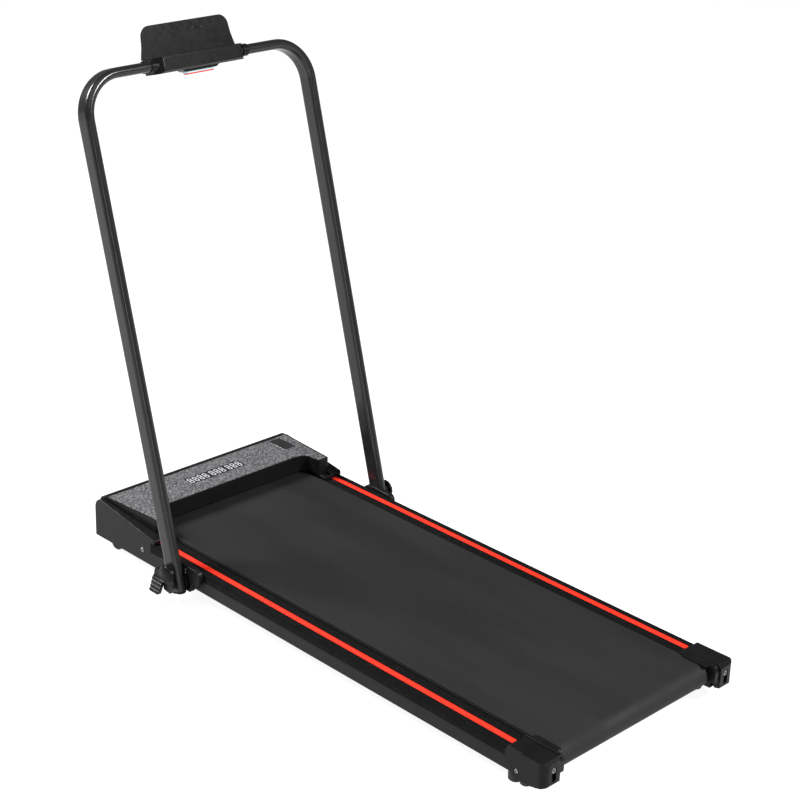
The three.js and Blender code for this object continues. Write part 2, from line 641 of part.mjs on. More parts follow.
function frontCover() {
  const { inX, skin, clear } = COVER;
  const shell = cut(solid(alongX(coverSide(0), inX, RAIL_OUT_X, 3)),
    alongX(coverSide(skin), inX - 1, RAIL_OUT_X - skin, 3));
  const ledge = block([HORN_IN_X + 3, LEDGE_Y, RAIL_TOP + clear],
    [RAIL_OUT_X - 1, LEDGE_Y + LEDGE_LENGTH, LEDGE_TOP]);
  const frameRoom = block([RAIL_IN_X - 16, COVER.rearY - 7, 0],
    [RAIL_OUT_X - skin, FRONT_Y + 1, FRAME.top + 0.5]);
  const half = HOOD_FRONT_HALF + clear;
  return cut(shell.add(solid(ledge)), frameRoom,
    alongZ(hoodPlan(-clear), LEDGE_TOP, COVER.top + 20, 3),
    alongX(frontBlock(-clear, 0), -half, half));
}

function bellyPan() {
  const { bottom, top, wall, flangeTop } = PAN_FLOOR;
  const { y, z } = WHEEL;
  const rearY = HOOD_USER_Y - 9.5;
  const frontY = SKIRT_Y - 6;
  const floor = block([-PAN_HALF, rearY, bottom], [PAN_HALF, frontY, top]);
  const flange = block([PAN_HALF - wall, rearY, bottom], [PAN_HALF, frontY, flangeTop]);
  const lug = alongX(outline([
    [y - LUG.half, z - LUG.drop, LUG.corner], [y + LUG.half, z - LUG.drop, LUG.corner],
    [y + LUG.baseHalf, z + LUG.rise], [y - LUG.baseHalf, z + LUG.rise],
  ]), PAN_HALF - wall, PAN_HALF);
  const hole = roundX(WHEEL_BOLT_RADIUS + GAP, PAN_HALF - 5, PAN_HALF + 1, y, z);
  const nutRoom = block([PAN_HALF - 10, y - 8.5, bottom - 1], [PAN_HALF - wall, y + 8.5, top + 1]);
  const pan = join(floor, flange, mirrored(flange), lug, mirrored(lug));
  return cut(pan, hole, mirrored(hole), nutRoom, mirrored(nutRoom));
}

function frontWheel() {
  const { radius, inX, outX, y, z, hubRadius, hubDeep, bevel } = WHEEL;
  const bore = WHEEL_BOLT_RADIUS + GAP;
  const shoulder = radius - 0.75 * bevel;
  return turnedX([
    [shoulder, inX], [radius, inX + bevel], [radius, outX - bevel], [shoulder, outX],
    [hubRadius, outX], [hubRadius, outX - hubDeep], [bore, outX - hubDeep], [bore, inX],
  ], y, z, 24);
}

function wheelBolt() {
  const { outX, y, z } = WHEEL;
  const { radius, inside, outside, socketRadius, socketDeep, nutHigh } = WHEEL_HEAD;
  const nutX = PAN_HALF - PAN_FLOOR.wall - GAP;
  const faceX = outX - outside;
  const shaft = roundX(WHEEL_BOLT_RADIUS, nutX - nutHigh - PAST, faceX - 0.8, y, z, 12);
  const head = roundX(radius, outX - inside, faceX, y, z, 16);
  const nut = roundX(radius, nutX - nutHigh, nutX, y, z, 6);
  return cut(join(shaft, head, nut), roundX(socketRadius, faceX - socketDeep, outX, y, z, 6));
}

function addFront() {
  addPair(treadmill, 'front_cover', frontCover(), 'plastic');
  add(treadmill, 'belly_pan', bellyPan(), 'black_steel');
  addPair(treadmill, 'front_wheel', frontWheel(), 'rubber');
  addPair(treadmill, 'wheel_bolt', wheelBolt(), 'bright');
}

// ------------------------------------------------------------------ rear end caps and feet

const CAP = {
  inX: 217, outX: 256, top: 77, frontY: REAR_Y + 85, cornerRadius: 14, skin: 1, wall: 4, back: 14,
};
const SHROUD = { inX: 204.5, rearY: REAR_Y + 3, shoulder: 66, bottom: 43, top: CAP.top - 1 };
const BEAD = { inX: 207.5, outX: 212, proud: 0.6 };
const FLAP = { inX: 194.5, frontY: CAP.frontY - 2, rearY: REAR_Y + 18 };
const KEYHOLE = { upper: 6.4, waist: 4, lower: 5.6, lowerZ: 42, deep: 12 };
const CAP_SCREW = { y: REAR_Y + 63, z: 37, radius: 6.2, deep: 1.2 };
const FOOT = { x: 230, y: REAR_Y + 85.5, radius: 13.5, lobe: 11, lobeY: REAR_Y + 61.5, lobeBottom: 2 };

// Side view of a cap: distance from its rear face, height and corner radius.
const CAP_SIDE = [
  [85, 77, 0], [8, 77, 1], [0, 72, 2], [0, 31.5, 3], [20, 25, 12], [36, 21.5, 12], [69, 22.5, 4],
  [90, 60, 5], [90, 68, 5],
];

function capBody() {
  const { inX, outX, top, frontY, cornerRadius } = CAP;
  const side = outline(CAP_SIDE.map(([ahead, z, radius]) => [REAR_Y + ahead, z, radius]));
  const plan = outline([
    [inX, frontY + 8], [inX, REAR_Y], [outX, REAR_Y, cornerRadius], [outX, frontY + 8],
  ]);
  return solid(alongX(side, inX, outX, 2)).intersect(solid(alongZ(plan, 0, top + 20, 4)));
}

// Two round openings joined by a narrow one; only the upper one goes through the rear wall.
function keyhole() {
  const { x, z } = BOLT;
  const { upper, waist, lower, lowerZ, deep } = KEYHOLE;
  const reach = [REAR_Y - PAST, REAR_Y + deep];
  return [
    roundY(upper, ...reach, x, z, 16), roundY(lower, ...reach, x, lowerZ, 16),
    block([x - waist, reach[0], lowerZ], [x + waist, reach[1], z]),
  ];
}

function endCap() {
  const { inX, outX, top, frontY, skin, wall, back, cornerRadius } = CAP;
  const shroud = alongX(outline([
    [frontY + 4, SHROUD.bottom], [frontY + 4, SHROUD.top], [REAR_Y + 8, SHROUD.top, 6],
    [SHROUD.rearY, SHROUD.shoulder, 4], [SHROUD.rearY, SHROUD.bottom, 3],
  ]), SHROUD.inX, inX + 0.5, 2);
  const bead = alongX(outline([
    [frontY, top - 2], [frontY, top + BEAD.proud, 1.5], [REAR_Y + 12, top + BEAD.proud, 8],
    [REAR_Y + 4, SHROUD.shoulder],
  ]), BEAD.inX, BEAD.outX, 3);
  const flapOutX = BEAD.inX + 1.5;
  const flap = alongZ(outline([
    [flapOutX, FLAP.frontY], [FLAP.inX, FLAP.frontY - 10, 10], [FLAP.inX, FLAP.rearY, 3],
    [flapOutX, FLAP.rearY],
  ]), BELT_TOP + 0.5, top, 3);
  const railRoom = block([SHROUD.inX - 5, REAR_Y + 76.5, 0],
    [RAIL_OUT_X + 0.4, frontY + 20, RAIL_TOP + 0.4]);
  const room = (rearY, bottom, ceiling) => alongZ(outline([
    [FRAME.inX - 0.4, frontY + 20], [FRAME.inX - 0.4, rearY],
    [RAIL_OUT_X - skin, rearY, cornerRadius - wall], [RAIL_OUT_X - skin, frontY + 20],
  ]), bottom, ceiling, 4);
  const boltFloor = BOLT.z - BOLT.headRadius - 1;
  const frameRoom = room(REAR_Y + back, 0, boltFloor + PAST);
  const boltRoom = room(REAR_Y + wall, boltFloor, CARRIER.top + 4);
  const axleRoom = block([SHROUD.inX - 5, REAR_AXLE_Y - AXLE_RADIUS - 3, AXLE_Z - AXLE_RADIUS - 2.5],
    [FRAME.inX + 1, frontY + 10, AXLE_Z + AXLE_RADIUS + 1.5]);
  const { radius, deep, y, z } = CAP_SCREW;
  const screwRecess = roundX(radius, outX - deep, outX + 1, y, z);
  return cut(capBody().add(solid(shroud)).add(solid(bead)).add(solid(flap)),
    railRoom, frameRoom, boltRoom, axleRoom, ...keyhole(), screwRecess);
}

// A round pad that stands on the floor, with a smaller lobe behind it that stays clear.
function rearFoot() {
  const { x, y, radius, lobe, lobeY, lobeBottom } = FOOT;
  const top = FRAME.bottom - GAP;
  const pad = (size, bottom, at) => turnedZ([
    [0, bottom], [size - 1.5, bottom], [size, bottom + 1.5], [size, top], [0, top],
  ], x, at, 24);
  return join(pad(radius, 0, y), pad(lobe, lobeBottom, lobeY));
}

function addRear() {
  addPair(treadmill, 'end_cap', endCap(), 'plastic');
  addPair(treadmill, 'rear_foot', rearFoot(), 'rubber');
}

// ------------------------------------------------------------------ handrail

const BEND_STEPS = 8;

// Path of the tube's centre line: up one leg, round two bends and down the other leg.
class HandrailPath extends THREE.Curve {
  constructor() {
    super();
    const side = LEG_X - BEND_RADIUS;
    const high = BAR_UP - BEND_RADIUS;
    const bend = (centre, from) => Array.from({ length: BEND_STEPS + 1 }, (_, i) => {
      const angle = from - (i / BEND_STEPS) * (Math.PI / 2);
      const outward = new THREE.Vector3(Math.cos(angle), 0, Math.sin(angle));
      return {
        at: outward.clone().multiplyScalar(BEND_RADIUS).add(new THREE.Vector3(centre, 0, high)),
        along: new THREE.Vector3(outward.z, 0, -outward.x),
      };
    });
    this.stations = [
      { at: new THREE.Vector3(-LEG_X, 0, LEG_FOOT), along: Z.clone() },
      ...bend(-side, Math.PI), ...bend(side, Math.PI / 2),
      { at: new THREE.Vector3(LEG_X, 0, LEG_FOOT), along: Z.clone().negate() },
    ];
    this.steps = this.stations.length - 1;
  }

  getPoint(t) {
    return this.stations[Math.round(t * this.steps)].at.clone();
  }

  getPointAt(t) {
    return this.getPoint(t);
  }

  getTangentAt(t) {
    return this.stations[Math.round(t * this.steps)].along.clone();
  }
}

function tubeSection(margin) {
  const straight = (TUBE.deep - TUBE.wide) / 2;
  return stadium(-straight, straight, 0, TUBE.wide / 2 + margin);
}

function handrailTube() {
  const path = new HandrailPath();
  const section = withHole(tubeSection(0), tubeSection(-TUBE.wall));
  const run = { steps: path.steps, extrudePath: path, curveSegments: 3 };
  const tube = new THREE.ExtrudeGeometry(section, run);
  const pivotHole = roundX(PIVOT.radius + GAP, LEG_IN_X - 1, LEG_OUT_X + 1, 0, 0, 12);
  const studHole = roundX(STUD.radius + GAP, LEG_IN_X - 1, LEG_OUT_X + 1, 0, STUD.up, 12);
  return cut(solid(tube), pivotHole, studHole, mirrored(pivotHole), mirrored(studHole));
}

function legPlug() {
  const inside = alongZ(tubeSection(-TUBE.wall - GAP), LEG_FOOT - 2, -PIVOT.radius - 2, 4);
  const flange = alongZ(tubeSection(0), LEG_FOOT - 3, LEG_FOOT - GAP, 4);
  const tip = alongZ(tubeSection(-2), LEG_FOOT - 5, LEG_FOOT - 2, 4);
  return join(inside.rotateZ(Math.PI / 2), flange.rotateZ(Math.PI / 2), tip.rotateZ(Math.PI / 2));
}

// Side view of a bracket: y, z and corner radius.
const BRACKET_SIDE = [
  [270, 45, 12], [296, 42, 6], [297, FRAME.bottom, 4], [354, FRAME.bottom, 8], [354, 74, 8],
  [322, 79, 10], [270, 77, 12],
];

function bracket() {
  const plate = alongX(outline(BRACKET_SIDE), RAIL_OUT_X + 0.5, BRACKET_OUT_X, 3);
  // The stud sweeps this arc as the handrail folds back.
  const { spare, clear, deep } = STUD_SLOT;
  const from = Math.PI / 2 - LEAN - spare;
  const to = Math.PI + spare;
  const width = STUD.radius + clear;
  const slot = new THREE.Shape();
  slot.absarc(PIVOT.y, PIVOT.z, STUD.up + width, from, to, false);
  slot.absarc(PIVOT.y, PIVOT.z, STUD.up - width, to, from, true);
  slot.closePath();
  return cut(solid(plate), alongX(slot, BRACKET_OUT_X - deep, BRACKET_OUT_X + PAST, 6),
    roundX(PIVOT.radius + GAP, RAIL_OUT_X - PAST, BRACKET_OUT_X + PAST, PIVOT.y, PIVOT.z));
}

function pivotBolt() {
  const { y, z, radius } = PIVOT;
  const { nutHigh, nutClear, washerRadius, washerX, washerThick, headRadius, headHigh } = PIVOT_BOLT;
  const nutX = FRAME.outX - FRAME.wall - nutClear - nutHigh;
  const headX = washerX + washerThick;
  const faceX = headX + headHigh;
  const shaft = roundX(radius, nutX - 2, headX + PAST, y, z, 16);
  const washer = roundX(washerRadius, washerX, headX, y, z, 16);
  const head = roundX(headRadius, headX - 0.2, faceX, y, z, 16);
  const nut = roundX(washerRadius, nutX, nutX + nutHigh, y, z, 6);
  const socket = roundX(radius * 0.6, faceX - 2.5, faceX + PAST, y, z, 6);
  return cut(join(shaft, washer, head, nut), socket);
}

const HUB = { y: PIVOT.y + STUD.up * Math.sin(LEAN), z: PIVOT.z + STUD.up * Math.cos(LEAN) };
const HUB_IN_X = LEG_OUT_X + 0.5;
const KNOB = { outX: 311, tipZ: 16.5, topZ: 74, teeth: 4, toothHigh: 8.6 };
// Side views of the knob's grip and of its tail: y, z and corner radius.
const GRIP_SIDE = [
  [338, 74, 4], [364, 64, 4], [371, 16.5, 3], [342, 16.5, 3], [335, 46, 3], [326, 50, 3],
];
const TAIL_SIDE = [[336, 50, 3], [340, 27, 5], [317, 24, 6], [308, 40, 5], [314, 52, 3]];
const TAIL = { inset: 6.8, outset: 13.2 };
// Radius and distance from the hub's inner face.
const HUB_PROFILE = [
  [0, 0], [14, 0], [14, 7.2], [20, 7.2], [21, 9.2], [20, 13.2], [13, 16.7], [0, 17.7],
];
// A rib's corners: height below its top and how far they stand out.
const RIB = { profile: [[0, -1.4], [1.6, 0.4], [6.2, 1]], inset: 1.4, flare: 1.6, drop: 0.22 };

// The grip flares outwards towards its ribbed tip.
function knobGrip() {
  const { outX, tipZ, topZ, teeth, toothHigh } = KNOB;
  const { profile, inset, flare, drop } = RIB;
  const ribs = Array.from({ length: teeth }, (_, i) => i).flatMap((i) => {
    const z = tipZ + toothHigh * (teeth - drop - i);
    const x = outX - inset - flare * (teeth - 1 - i);
    return profile.map(([down, out]) => [x + out, z - down]);
  });
  const thickness = outline([
    [HUB_IN_X + 7.7, topZ - 8], [HUB_IN_X + 14.2, topZ - 8], [HUB_IN_X + 15.6, topZ - 22],
    ...ribs, [outX, tipZ], [outX - 8, tipZ],
  ]);
  const face = alongX(outline(GRIP_SIDE), HUB_IN_X, outX + 4, 2);
  return solid(face).intersect(solid(alongY(thickness, 300, 400)));
}

function knobBody() {
  const { y, z } = HUB;
  const stud = roundX(STUD.radius, BRACKET_OUT_X - STUD_SLOT.deep + PAST, HUB_IN_X + PAST, y, z, 12);
  const hub = turnedX(HUB_PROFILE.map(([radius, out]) => [radius, HUB_IN_X + out]), y, z, 16);
  const tail = alongX(outline(TAIL_SIDE), HUB_IN_X + TAIL.inset, HUB_IN_X + TAIL.outset, 2);
  return join(stud, hub, tail).add(knobGrip());
}

function addHandrail() {
  const handrail = new THREE.Group();
  handrail.position.set(0, PIVOT.y, PIVOT.z);
  handrail.rotation.x = -LEAN;
  treadmill.add(handrail);
  add(handrail, 'handrail_tube', handrailTube(), 'painted_tube');
  addPair(handrail, 'leg_plug', legPlug().translate([LEG_X, 0, 0]), 'plastic');
  addHolder(handrail);
  addPair(treadmill, 'handrail_bracket', bracket(), 'black_steel');
  addPair(treadmill, 'pivot_bolt', pivotBolt(), 'bright');
  addPair(treadmill, 'lock_knob', knobBody(), 'plastic');
}

// ------------------------------------------------------------------ phone holder

// Drawn round the middle of the bar: x across, y forward of the bar and z up the leg.
const TRAY = {
  rearY: -27, frontY: 21, bottom: -17, top: 14.5, half: 110, rearHalf: 96, cornerY: -12,
  pocketHalf: 86, pocketDeep: 2.5,
};
const COLLAR = { thick: 2.4, inset: 4, outset: 10 };
const PLATE = { bottomHalf: 116, topHalf: 105, bottom: 12.4, top: 76.5, rearY: 15.2, thick: 3 };
const CLAMP = { half: 80, rearY: -16, frontY: 16, bottom: -16.6, top: -10.4 };
const SOCKET = { half: 47, low: -21.5 };
const KEY = { half: 36, top: SOCKET.low - GAP, bottom: -27.5 };

function holderTray() {
  const { rearY, frontY, bottom, top, half, rearHalf, cornerY, pocketHalf, pocketDeep } = TRAY;
  const floor = top - pocketDeep;
  const plan = outline([
    [-rearHalf, rearY, 5], [rearHalf, rearY, 5], [half, cornerY, 5], [half, frontY, 3],
    [-half, frontY, 3], [-half, cornerY, 5],
  ]);
  const profile = outline([
    [rearY, bottom + 4], [rearY + 7, bottom, 2], [frontY, bottom, 3], [frontY, floor],
    [PLATE.rearY - GAP, floor], [PLATE.rearY - GAP, top], [rearY, top, 2],
  ]);
  const body = solid(alongZ(plan, bottom - 5, top + 5, 2))
    .intersect(solid(alongX(profile, -half - 2, half + 2, 2)));
  const { thick, inset, outset } = COLLAR;
  const collar = alongX(tubeSection(thick), half - inset, half + outset);
  const barRoom = alongX(tubeSection(0.4), -half - outset - PAST, half + outset + PAST);
  const pocket = block([-pocketHalf, rearY + 3.5, floor], [pocketHalf, frontY - 4, top + PAST]);
  const clampRoom = block([-CLAMP.half - GAP, CLAMP.rearY - GAP, bottom - 3],
    [CLAMP.half + GAP, CLAMP.frontY + GAP, -4]);
  return cut(body.add(solid(collar)).add(solid(mirrored(collar))), barRoom, pocket, clampRoom);
}

function backPlate() {
  const { bottomHalf, topHalf, bottom, top, rearY, thick } = PLATE;
  const right = [[topHalf, top, 22], [topHalf + 4, 40, 30], [bottomHalf, bottom, 3]];
  const left = right.map(([x, z, radius]) => [-x, z, radius]).reverse();
  return alongY(outline([...left, ...right]), rearY, rearY + thick, 4);
}

function holderClamp() {
  const { half, rearY, frontY, bottom, top } = CLAMP;
  const plate = block([-half, rearY, bottom], [half, frontY, top]);
  const foot = SOCKET.half;
  const socket = alongY(outline([
    [-foot, bottom - 0.2], [-foot, bottom + 0.6], [foot, bottom + 0.6], [foot, bottom - 0.2],
    [foot - 9, SOCKET.low], [9 - foot, SOCKET.low],
  ]), rearY + 2, 6);
  return join(plate, socket);
}

function safetyKey() {
  const { half, top, bottom } = KEY;
  const face = outline([
    [-half, top], [half, top], [half - 6, bottom, 2], [6 - half, bottom, 2],
  ]);
  return alongY(face, -12, 4, 2);
}

function addHolder(handrail) {
  const holder = new THREE.Group();
  holder.position.z = BAR_UP;
  handrail.add(holder);
  add(holder, 'holder_tray', holderTray(), 'plastic');
  add(holder, 'holder_back_plate', backPlate(), 'plastic');
  add(holder, 'holder_clamp', holderClamp(), 'plastic');
  add(holder, 'safety_key', safetyKey(), 'red');
}

addFrame();
addDrive();
addHood();
addPowerPanel();
addFront();
addRear();
addHandrail();

export default treadmill;
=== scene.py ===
import json
import math

import bmesh
import bpy
from mathutils import Matrix, Vector

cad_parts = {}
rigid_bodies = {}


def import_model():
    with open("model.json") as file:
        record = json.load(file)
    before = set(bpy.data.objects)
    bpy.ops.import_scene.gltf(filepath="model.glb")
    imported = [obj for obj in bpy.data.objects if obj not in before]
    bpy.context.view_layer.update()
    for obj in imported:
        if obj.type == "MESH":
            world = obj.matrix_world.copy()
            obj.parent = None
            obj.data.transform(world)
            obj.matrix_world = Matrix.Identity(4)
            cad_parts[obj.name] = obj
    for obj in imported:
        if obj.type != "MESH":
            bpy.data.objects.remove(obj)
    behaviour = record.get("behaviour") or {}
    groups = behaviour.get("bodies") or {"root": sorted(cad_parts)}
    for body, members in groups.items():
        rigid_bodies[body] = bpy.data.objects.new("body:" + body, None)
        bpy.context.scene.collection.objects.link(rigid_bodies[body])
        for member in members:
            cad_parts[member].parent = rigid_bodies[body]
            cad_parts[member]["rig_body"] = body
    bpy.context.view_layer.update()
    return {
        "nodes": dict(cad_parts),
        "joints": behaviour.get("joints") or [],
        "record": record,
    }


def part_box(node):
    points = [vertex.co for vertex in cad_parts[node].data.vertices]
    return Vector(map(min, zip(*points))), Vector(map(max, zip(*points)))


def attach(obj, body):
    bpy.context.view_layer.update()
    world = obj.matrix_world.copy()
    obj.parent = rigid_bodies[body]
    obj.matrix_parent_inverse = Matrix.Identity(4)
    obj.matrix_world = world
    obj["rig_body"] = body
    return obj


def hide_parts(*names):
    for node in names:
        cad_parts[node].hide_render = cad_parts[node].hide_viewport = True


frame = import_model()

MM = 0.001
RECORD = frame["record"]
JOINTS = {joint["name"]: joint for joint in frame["joints"]}
SLOT_OF = {part["node"]: part["material_slot"] for part in RECORD["subparts"]}
SIDES = {"left": -1, "right": 1}

# Angles between faces, in degrees.
SMOOTH_BELOW = 38           # edges that aren't sharper are shaded smooth
ROUND_ABOVE = 30            # edges that are sharper can be rounded
FLAT_WITHIN = 0.5           # faces that differ by less are one flat face


# ---------------------------------------------------------------- materials

def shader(name):
    material = bpy.data.materials.new(name)
    material.use_nodes = True
    tree = material.node_tree
    tree.nodes.clear()
    output = tree.nodes.new("ShaderNodeOutputMaterial")
    surface = tree.nodes.new("ShaderNodeBsdfPrincipled")
    tree.links.new(surface.outputs["BSDF"], output.inputs["Surface"])
    return material, tree, surface


def place(tree, scale=(1, 1, 1), source="Object"):
    """Texture coordinates in metres, stretched by scale."""
    coordinates = tree.nodes.new("ShaderNodeTexCoord")
    mapping = tree.nodes.new("ShaderNodeMapping")
    mapping.inputs["Scale"].default_value = scale
    tree.links.new(coordinates.outputs[source], mapping.inputs["Vector"])
    return mapping.outputs["Vector"]


def noise(tree, pitch, detail=2.0, scale=(1, 1, 1), source="Object"):
    """Cloudy noise whose blobs are about one pitch across, in metres."""
    texture = tree.nodes.new("ShaderNodeTexNoise")
    texture.inputs["Scale"].default_value = 1 / pitch
    texture.inputs["Detail"].default_value = detail
    tree.links.new(place(tree, scale, source), texture.inputs["Vector"])
    return texture.outputs["Fac"]


def spread(tree, value, low, high, start=0.0, end=1.0):
    """Maps value from start..end to low..high, with its ends held."""
    ranged = tree.nodes.new("ShaderNodeMapRange")
    ranged.inputs["From Min"].default_value = start
    ranged.inputs["From Max"].default_value = end
    ranged.inputs["To Min"].default_value = low
    ranged.inputs["To Max"].default_value = high
    tree.links.new(value, ranged.inputs["Value"])
    return ranged.outputs["Result"]


def blend_colors(tree, factor, first, second):
    mix = tree.nodes.new("ShaderNodeMix")
    mix.data_type = "RGBA"
    tree.links.new(factor, mix.inputs["Factor"])
    for socket, color in (("A", first), ("B", second)):
        target = next(s for s in mix.inputs if s.name == socket and s.type == "RGBA")
        if isinstance(color, bpy.types.NodeSocket):
            tree.links.new(color, target)
        else:
            target.default_value = (*color, 1)
    return next(s for s in mix.outputs if s.type == "RGBA")


def calculate(tree, operation, first, second=None):
    node = tree.nodes.new("ShaderNodeMath")
    node.operation = operation
    for socket, value in zip(node.inputs, (first, second)):
        if isinstance(value, bpy.types.NodeSocket):
            tree.links.new(value, socket)
        elif value is not None:
            socket.default_value = value
    return node.outputs["Value"]


def emboss(tree, surface, *layers):
    """Stacks bumps on the surface; a layer is (height, strength, distance in metres)."""
    normal = None
    for height, strength, distance in layers:
        bump = tree.nodes.new("ShaderNodeBump")
        bump.inputs["Strength"].default_value = strength
        bump.inputs["Distance"].default_value = distance
        tree.links.new(height, bump.inputs["Height"])
        if normal:
            tree.links.new(normal, bump.inputs["Normal"])
        normal = bump.outputs["Normal"]
    tree.links.new(normal, surface.inputs["Normal"])


def moulded(name, dark, light, rough, grain, depth, specular=0.5):
    """Grained plastic or paint: colour and gloss drift over the surface, with a fine grain."""
    material, tree, surface = shader(name)
    cloud = noise(tree, 35 * MM, detail=6)
    tree.links.new(blend_colors(tree, spread(tree, cloud, 0, 1, 0.3, 0.7), dark, light),
                   surface.inputs["Base Color"])
    smear = noise(tree, 12 * MM, detail=6)
    tree.links.new(spread(tree, smear, rough * 0.9, rough * 1.12, 0.3, 0.7),
                   surface.inputs["Roughness"])
    surface.inputs["Specular IOR Level"].default_value = specular
    emboss(tree, surface, (noise(tree, grain, detail=3), 0.22, depth))
    return material


def belt_material():
    """Charcoal rubber with a fine diamond weave that runs round the loop."""
    material, tree, surface = shader("belt_rubber")
    weave_pitch = 2.4 * MM
    band_pitch = 0.31       # of the wave texture, at scale 1
    waves = []
    for slant in (1, -1):
        wave = tree.nodes.new("ShaderNodeTexWave")
        wave.wave_type = "BANDS"
        wave.bands_direction = "DIAGONAL"
        wave.inputs["Scale"].default_value = band_pitch / weave_pitch
        tree.links.new(place(tree, (1, slant, 0), "UV"), wave.inputs["Vector"])
        waves.append(wave.outputs["Fac"])
    weave = calculate(tree, "MULTIPLY", *waves)
    scuff = spread(tree, noise(tree, 90 * MM, 5, (1, 0.25, 1)), 0, 1, 0.35, 0.68)
    cloth = blend_colors(tree, weave, (0.0072, 0.0072, 0.0076), (0.011, 0.011, 0.0117))
    tree.links.new(blend_colors(tree, calculate(tree, "MULTIPLY", scuff, 0.3), cloth,
                                (0.0132, 0.0132, 0.014)), surface.inputs["Base Color"])
    tree.links.new(spread(tree, scuff, 0.62, 0.78), surface.inputs["Roughness"])
    surface.inputs["Specular IOR Level"].default_value = 0.25
    emboss(tree, surface, (weave, 0.5, 0.25 * MM), (noise(tree, 0.9 * MM, 2), 0.2, 0.08 * MM))
    return material


def granite_material():
    """Grey granite film: pale worm-like patches, dark veins between them and black specks."""
    material, tree, surface = shader("speckled_panel")
    patches = spread(tree, noise(tree, 4.6 * MM, 2), 0, 1, 0.44, 0.54)
    folds = calculate(tree, "ABSOLUTE", calculate(tree, "SUBTRACT", noise(tree, 5.5 * MM, 3), 0.5))
    veins = spread(tree, folds, 1, 0, 0.012, 0.045)
    dots = tree.nodes.new("ShaderNodeTexVoronoi")
    dots.inputs["Scale"].default_value = 1 / (3.4 * MM)
    tree.links.new(place(tree), dots.inputs["Vector"])
    specks = spread(tree, dots.outputs["Distance"], 1, 0, 0.2, 0.34)
    grey = blend_colors(tree, patches, (0.058, 0.058, 0.061), (0.165, 0.165, 0.171))
    veined = blend_colors(tree, veins, grey, (0.032, 0.032, 0.034))
    tree.links.new(blend_colors(tree, specks, veined, (0.015, 0.015, 0.016)),
                   surface.inputs["Base Color"])
    tree.links.new(spread(tree, patches, 0.5, 0.6), surface.inputs["Roughness"])
    surface.inputs["Specular IOR Level"].default_value = 0.25
    emboss(tree, surface, (veins, 0.2, 0.12 * MM), (noise(tree, 0.8 * MM, 2), 0.12, 0.05 * MM))
    return material


def trim_material():
    """Satin red plastic with a slight lengthwise drag in its gloss."""
    material, tree, surface = shader("red_trim")
    streak = noise(tree, 6 * MM, 4, (1, 0.04, 1))
    tree.links.new(blend_colors(tree, streak, (0.62, 0.02, 0.0075), (0.7, 0.028, 0.011)),
                   surface.inputs["Base Color"])
    tree.links.new(spread(tree, streak, 0.5, 0.6), surface.inputs["Roughness"])
    surface.inputs["Specular IOR Level"].default_value = 0.12
    emboss(tree, surface, (noise(tree, 0.7 * MM, 2), 0.2, 0.04 * MM))
    return material


def metal_material(name, dark, light, rough, brush):
    """Steel with fine turning marks; brush stretches the marks along each axis."""
    material, tree, surface = shader(name)
    marks = noise(tree, 2.2 * MM, 6, brush)
    cloud = noise(tree, 12 * MM, 3)
    tree.links.new(blend_colors(tree, cloud, dark, light), surface.inputs["Base Color"])
    tree.links.new(spread(tree, marks, rough * 0.8, rough * 1.3, 0.3, 0.7),
                   surface.inputs["Roughness"])
    surface.inputs["Metallic"].default_value = 1.0
    emboss(tree, surface, (marks, 0.2, 0.05 * MM))
    return material


def rubber_material():
    material, tree, surface = shader("black_rubber")
    dust = spread(tree, noise(tree, 14 * MM, 6), 0, 1, 0.45, 0.75)
    tree.links.new(blend_colors(tree, dust, (0.011, 0.011, 0.0115), (0.024, 0.0235, 0.023)),
                   surface.inputs["Base Color"])
    tree.links.new(spread(tree, dust, 0.7, 0.85), surface.inputs["Roughness"])
    emboss(tree, surface, (noise(tree, 0.6 * MM, 3), 0.4, 0.08 * MM))
    return material


def board_material():
    """Board with a black resin-coated face that shows a faint long grain."""
    material, tree, surface = shader("deck_wood")
    grain = noise(tree, 4 * MM, 8, (1, 0.05, 1))
    tree.links.new(blend_colors(tree, grain, (0.003, 0.003, 0.003), (0.006, 0.0055, 0.005)),
                   surface.inputs["Base Color"])
    tree.links.new(spread(tree, grain, 0.6, 0.75), surface.inputs["Roughness"])
    surface.inputs["Specular IOR Level"].default_value = 0.2
    emboss(tree, surface, (grain, 0.3, 0.1 * MM))
    return material


def window_material():
    """Smoked acrylic over a dark cavity, with faint dust and fine scratches."""
    material, tree, surface = shader("dark_window")
    haze = noise(tree, 9 * MM, 6)
    tree.links.new(blend_colors(tree, haze, (0.012, 0.012, 0.013), (0.026, 0.026, 0.028)),
                   surface.inputs["Base Color"])
    tree.links.new(spread(tree, haze, 0.16, 0.3, 0.3, 0.7), surface.inputs["Roughness"])
    emboss(tree, surface, (noise(tree, 1.2 * MM, 2), 0.05, 0.02 * MM))
    return material


def circuit_material():
    material, tree, surface = shader("circuit_board")
    tracks = tree.nodes.new("ShaderNodeTexBrick")
    tracks.inputs["Scale"].default_value = 1 / (20 * MM)
    tracks.inputs["Color1"].default_value = (0.012, 0.075, 0.03, 1)
    tracks.inputs["Color2"].default_value = (0.016, 0.1, 0.042, 1)
    tracks.inputs["Mortar"].default_value = (0.3, 0.2, 0.06, 1)
    tree.links.new(place(tree), tracks.inputs["Vector"])
    tree.links.new(tracks.outputs["Color"], surface.inputs["Base Color"])
    tree.links.new(spread(tree, noise(tree, 5 * MM), 0.35, 0.5), surface.inputs["Roughness"])
    return material


def digit_material():
    """Lit white segments, a touch uneven from one diode to the next."""
    material, tree, surface = shader("light_digits")
    glow = blend_colors(tree, noise(tree, 4 * MM, 1), (0.86, 0.92, 1.0), (1.0, 1.0, 1.0))
    surface.inputs["Base Color"].default_value = (0.3, 0.3, 0.31, 1)
    tree.links.new(glow, surface.inputs["Emission Color"])
    surface.inputs["Emission Strength"].default_value = 0.65
    surface.inputs["Roughness"].default_value = 0.35
    return material


